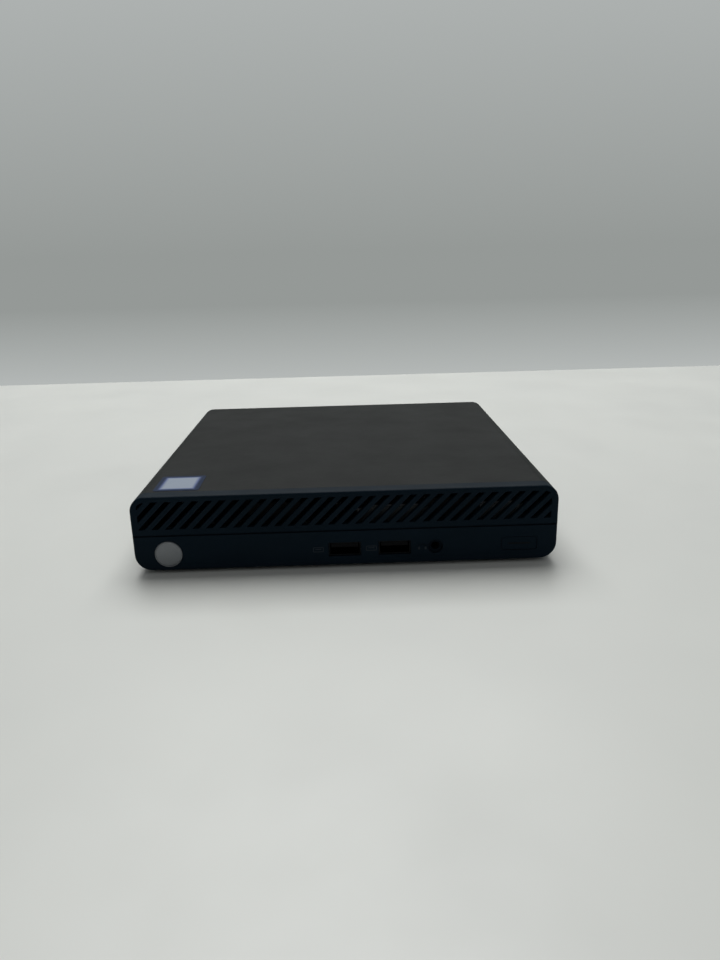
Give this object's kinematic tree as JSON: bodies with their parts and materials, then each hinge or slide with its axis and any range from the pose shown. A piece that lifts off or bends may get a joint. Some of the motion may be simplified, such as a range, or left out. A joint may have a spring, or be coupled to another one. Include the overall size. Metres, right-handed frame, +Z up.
{
  "type": "mini desktop computer",
  "caption": "Flat square mini desktop computer with a slide-off cover, slanted vent slots across the front, front ports, a power button and a full interior.",
  "frame": {"origin": "centre of the footprint on the surface it stands on", "axes": "+X to the right seen from the front, +Y to the back, +Z up"},
  "size_m": [0.177, 0.175, 0.034],
  "materials": {
    "cover_paint": "fine matte textured paint",
    "bezel_plastic": "moulded, fine matte grain",
    "badge_metal": "satin",
    "light_guide_plastic": "polished clear",
    "tray_steel": "fine matte textured paint",
    "panel_steel": "zinc plated",
    "foot_rubber": "matte",
    "plated_steel": "nickel plated",
    "board_laminate": "solder mask",
    "black_plastic": "moulded",
    "fan_plastic": "moulded",
    "port_steel": "tin plated",
    "cooler_aluminium": "as extruded",
    "drive_aluminium": "satin",
    "contact_brass": "gold flash",
    "ribbon_film": "polyimide film",
    "blue_plastic": "moulded",
    "pale_plastic": "moulded"
  },
  "bodies": {
    "chassis": {"base_tray": "tray_steel", "rear_panel": "panel_steel", "rear_rivets": "panel_steel", "rubber_feet": "foot_rubber", "mount_inserts": "plated_steel", "board_posts": "plated_steel", "main_board": "board_laminate", "board_screws": "plated_steel", "power_switch": "black_plastic", "front_usb_shells": "port_steel", "front_usb_tongues": "black_plastic", "headset_jack": "black_plastic", "speaker": "black_plastic", "processor_socket": "black_plastic", "processor": "plated_steel", "cooler": "cooler_aluminium", "cooler_screws": "plated_steel", "fan_housing": "fan_plastic", "fan_lid": "fan_plastic", "fan_bush": "contact_brass", "fan_stator": "contact_brass", "fan_plug": "pale_plastic", "memory_sockets": "black_plastic", "memory_modules": "board_laminate", "drive_tray": "panel_steel", "storage_drive": "drive_aluminium", "drive_screws": "plated_steel", "drive_plug": "black_plastic", "drive_ribbon": "ribbon_film", "wireless_socket": "black_plastic", "wireless_card": "board_laminate", "antennas": "black_plastic", "antenna_leads": "black_plastic", "coin_cell_holder": "black_plastic", "coin_cell": "plated_steel", "chipset": "board_laminate", "chipset_cooler": "cooler_aluminium", "power_chokes": "black_plastic", "capacitors": "cooler_aluminium", "rear_usb_shells": "port_steel", "rear_usb_tongues": "blue_plastic", "network_jack": "port_steel", "network_contacts": "contact_brass", "video_shells": "port_steel", "video_tongues": "black_plastic", "power_inlet": "black_plastic", "power_inlet_pin": "contact_brass", "port_blank": "tray_steel"},
    "cover": {"top_cover": "cover_paint", "upper_bezel": "bezel_plastic", "lower_bezel": "bezel_plastic", "badge": "badge_metal"},
    "power_button": {"power_button": "bezel_plastic", "button_light_guide": "light_guide_plastic"},
    "switch_plunger": {"switch_plunger": "contact_brass"},
    "fan_rotor": {"fan_rotor": "fan_plastic", "fan_shaft": "plated_steel"},
    "thumbscrew": {"thumbscrew": "plated_steel"}
  },
  "joints": [
    {"name": "cover_slide", "type": "slide", "parent": "chassis", "child": "cover", "axis": [0, -1, 0], "range_m": [0, 0.185]},
    {"name": "power_button_press", "type": "slide", "parent": "cover", "child": "power_button", "axis": [0, 1, 0], "range_m": [0, 0.0008], "stiffness_N_per_m": 1500, "springref_m": -0.0004},
    {"name": "switch_plunger_press", "type": "slide", "parent": "chassis", "child": "switch_plunger", "axis": [0, 1, 0], "range_m": [0, 0.0008]},
    {"name": "fan_spin", "type": "hinge", "parent": "chassis", "child": "fan_rotor", "pos_m": [-0.043, -0.031, 0.0149], "axis": [0, 0, 1], "continuous": true},
    {"name": "thumbscrew_turn", "type": "hinge", "parent": "chassis", "child": "thumbscrew", "pos_m": [0.066, 0.084, 0.028], "axis": [0, 1, 0], "continuous": true}
  ],
  "couplings": [
    {"joint": "switch_plunger_press", "follows": "power_button_press", "ratio": 1}
  ]
}
